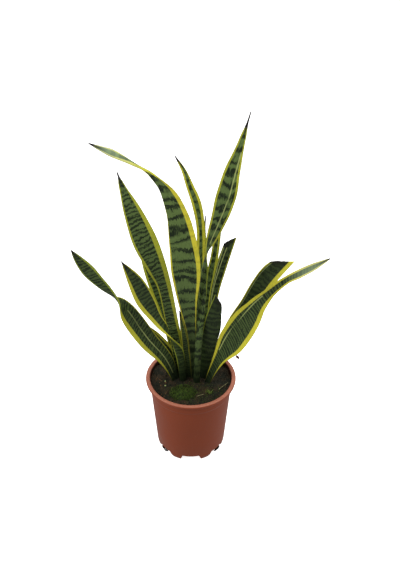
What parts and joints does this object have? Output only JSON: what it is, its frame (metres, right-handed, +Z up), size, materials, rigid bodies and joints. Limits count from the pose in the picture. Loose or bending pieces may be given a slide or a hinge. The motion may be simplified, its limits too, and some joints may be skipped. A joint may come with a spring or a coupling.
{
  "type": "potted snake plant",
  "caption": "Variegated snake plant with upright, arching and cropped sword-shaped leaves, rooted in a tapered round nursery pot with a rolled rim and slotted foot.",
  "frame": {"origin": "on the surface the pot stands on, below the middle of the whole plant's spread", "axes": "+Z up; -Y is the front, which most of the blades face; +X to the viewer's right"},
  "size_m": [0.4194, 0.1765, 0.6713],
  "materials": {
    "pot_plastic": "moulded terracotta-coloured polypropylene with a dull sheen",
    "potting_mix": "damp dark peat and bark",
    "blade": "waxy variegated leaf, dark green bands and yellow margins",
    "rhizome": "smooth fleshy rhizome",
    "moss": "soft matt moss",
    "dry_bits": "dry straw and perlite",
    "withered": "dry brown plant matter"
  },
  "bodies": {
    "root": {"pot": "pot_plastic", "potting_mix": "potting_mix", "rhizome": "rhizome", "leaf_tall_right": "blade", "leaf_arching": "blade", "leaf_tall_left": "blade", "leaf_back_centre": "blade", "leaf_left": "blade", "leaf_far_left": "blade", "leaf_low_left": "blade", "leaf_behind_left": "blade", "leaf_inner_short": "blade", "leaf_behind_right": "blade", "leaf_hidden_left": "blade", "leaf_hidden_right": "blade", "leaf_cut_slim": "blade", "leaf_cut_short": "blade", "leaf_front_right": "blade", "leaf_cut_back": "blade", "moss": "moss", "seedling_tuft": "moss", "straw_long": "dry_bits", "straw_short": "dry_bits", "perlite_front": "dry_bits", "perlite_back": "dry_bits", "lump_left": "potting_mix", "lump_right": "potting_mix", "withered_curl": "withered"}
  },
  "joints": []
}
